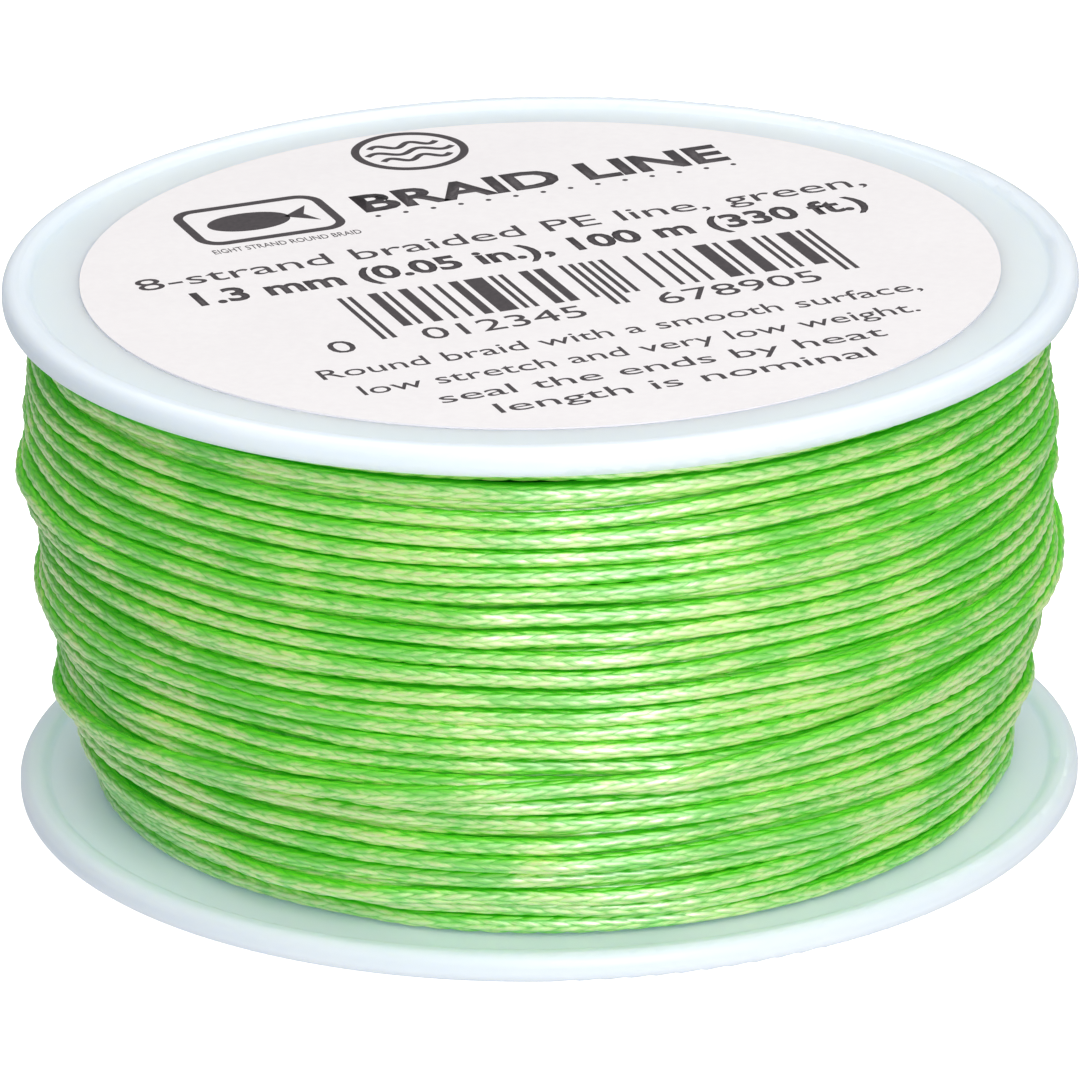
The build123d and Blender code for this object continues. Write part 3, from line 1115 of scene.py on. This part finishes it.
ring_at = np.array((0.85, 27.9))
WAVES = ((1.5, 5.2), (0, 6.6), (-1.5, 5.2))    # height above the ring's middle, and length
waves = [strip(wave(ring_at + (0, up), length, 0.45, 2), 0.5) for up, length in WAVES]
pictogram("picture_waves", [strip(oval(ring_at, 4.0, 4.0), 0.62, closed=True), *waves])
fish_at = np.array((-14.5, 18.0))
body = oval(fish_at + (-0.8, 0), 3.1, 1.9, 40)
tail_fin = fish_at + np.array([(1.9, 0), (4.1, 1.7), (3.4, 0), (4.1, -1.7)])
pictogram("picture_fish", [
    strip(rounded_frame(fish_at, 5.3, 3.7, 1.5), 0.7, closed=True),
    (body, [tuple(range(len(body)))]),
    (tail_fin, [(0, 2, 1), (0, 3, 2)]),
])
print("pictograms: 2")

# %% [markdown]
# ## Floor, light and camera
# A catalogue picture of line is taken on white and cut out, so the floor is a plain white page.
# The camera sees it, and it takes no part in the light on the bobbin. What a real white table
# throws back comes from two flat lamps just under it. The key light is a square soft box in
# front, a little to the right and half way up. A smaller one in front and low puts the white
# glint on the middle of the pack, and a broad one overhead evens out the label. A long lens
# from a little above keeps the two flanges nearly the same width.

# %% Floor
def pale_floor():
    made, tree, surface = finish("pale_floor", Base_Color=(0.9, 0.9, 0.9, 1),
                                 Emission_Color=(1, 1, 1, 1), Emission_Strength=1.0)
    place = place_on(tree)
    connect(tree, surface.inputs["Roughness"], noise(tree, place, 20.0) * 0.1 + 0.65)
    return made


FLOOR_HALF = 1.2       # m
floor_mesh = bpy.data.meshes.new("floor")
corners = [(FLOOR_HALF * x, FLOOR_HALF * y, 0) for x, y in ((-1, -1), (1, -1), (1, 1), (-1, 1))]
floor_mesh.from_pydata(corners, [], [(0, 1, 2, 3)])
floor_mesh.materials.append(pale_floor())
floor = in_scene("floor", floor_mesh)
floor.visible_diffuse = False
floor.visible_glossy = False
floor.visible_shadow = False
print("floor, m:", 2 * FLOOR_HALF)

# %% Light
world = bpy.data.worlds.new("white_room")
world.use_nodes = True
room = world.node_tree.nodes["Background"].inputs
room["Color"].default_value = (1, 1, 1, 1)
room["Strength"].default_value = 0.18
bpy.context.scene.world = world
bpy.context.scene.view_settings.view_transform = "Standard"
MIDDLE = Vector((0, 0, TOP / 2 * MM))


def soft_box(name, azimuth, elevation, distance, width, height, watts):
    """A soft box that faces the middle of the bobbin. Azimuth 0 is in front, + to the right."""
    lamp = bpy.data.lights.new(name, "AREA")
    lamp.shape = "RECTANGLE"
    lamp.size = width
    lamp.size_y = height
    lamp.energy = watts
    box = in_scene(name, lamp)
    a, e = math.radians(azimuth), math.radians(elevation)
    towards = Vector((math.sin(a) * math.cos(e), -math.cos(a) * math.cos(e), math.sin(e)))
    box.location = MIDDLE + distance * towards
    box.rotation_euler = (box.location - MIDDLE).to_track_quat("Z", "Y").to_euler()
    box.visible_camera = False
    return box


UNDER_FLOOR = 0.5      # mm


def flat_box(name, azimuth, reach, width, depth, watts):
    """A lamp just under the floor that faces up, as a white table does where light falls on it."""
    box = soft_box(name, azimuth, 0, reach, width, depth, watts)
    box.location.z = -UNDER_FLOOR * MM
    box.rotation_euler = (math.pi, 0, -math.radians(azimuth))
    return box


soft_box("key_box", 14, 42, 0.80, 0.44, 0.44, 3.2)
soft_box("overhead_box", 180, 75, 0.80, 0.80, 0.80, 5.1)
soft_box("front_box", 14, 8, 0.80, 0.36, 0.26, 2.1)
flat_box("table_light", 0, 0.0, 1.0, 1.0, 1.5)
flat_box("near_table_light", 14, 0.105, 0.08, 0.09, 0.01)
print("lamps:", len(bpy.data.lights))

# %% Camera
ELEVATION = math.radians(20.955)
ROLL = math.radians(-1.075)
DISTANCE = 18.455 * FLANGE_R * MM
LENS = 327.83
camera_data = bpy.data.cameras.new("camera")
camera_data.sensor_width = 36
camera_data.lens = LENS
camera_data.clip_end = 20
camera = in_scene("camera", camera_data)
aim = Vector((-0.0095 * FLANGE_R, 0, TOP - 0.5503 * FLANGE_R)) * MM
camera.location = aim + DISTANCE * Vector((0, -math.cos(ELEVATION), math.sin(ELEVATION)))
look = Matrix.Rotation(math.pi / 2 - ELEVATION, 4, "X") @ Matrix.Rotation(ROLL, 4, "Z")
camera.rotation_euler = look.to_euler()
bpy.context.scene.camera = camera
print("camera at, mm:", [round(v / MM, 1) for v in camera.location])
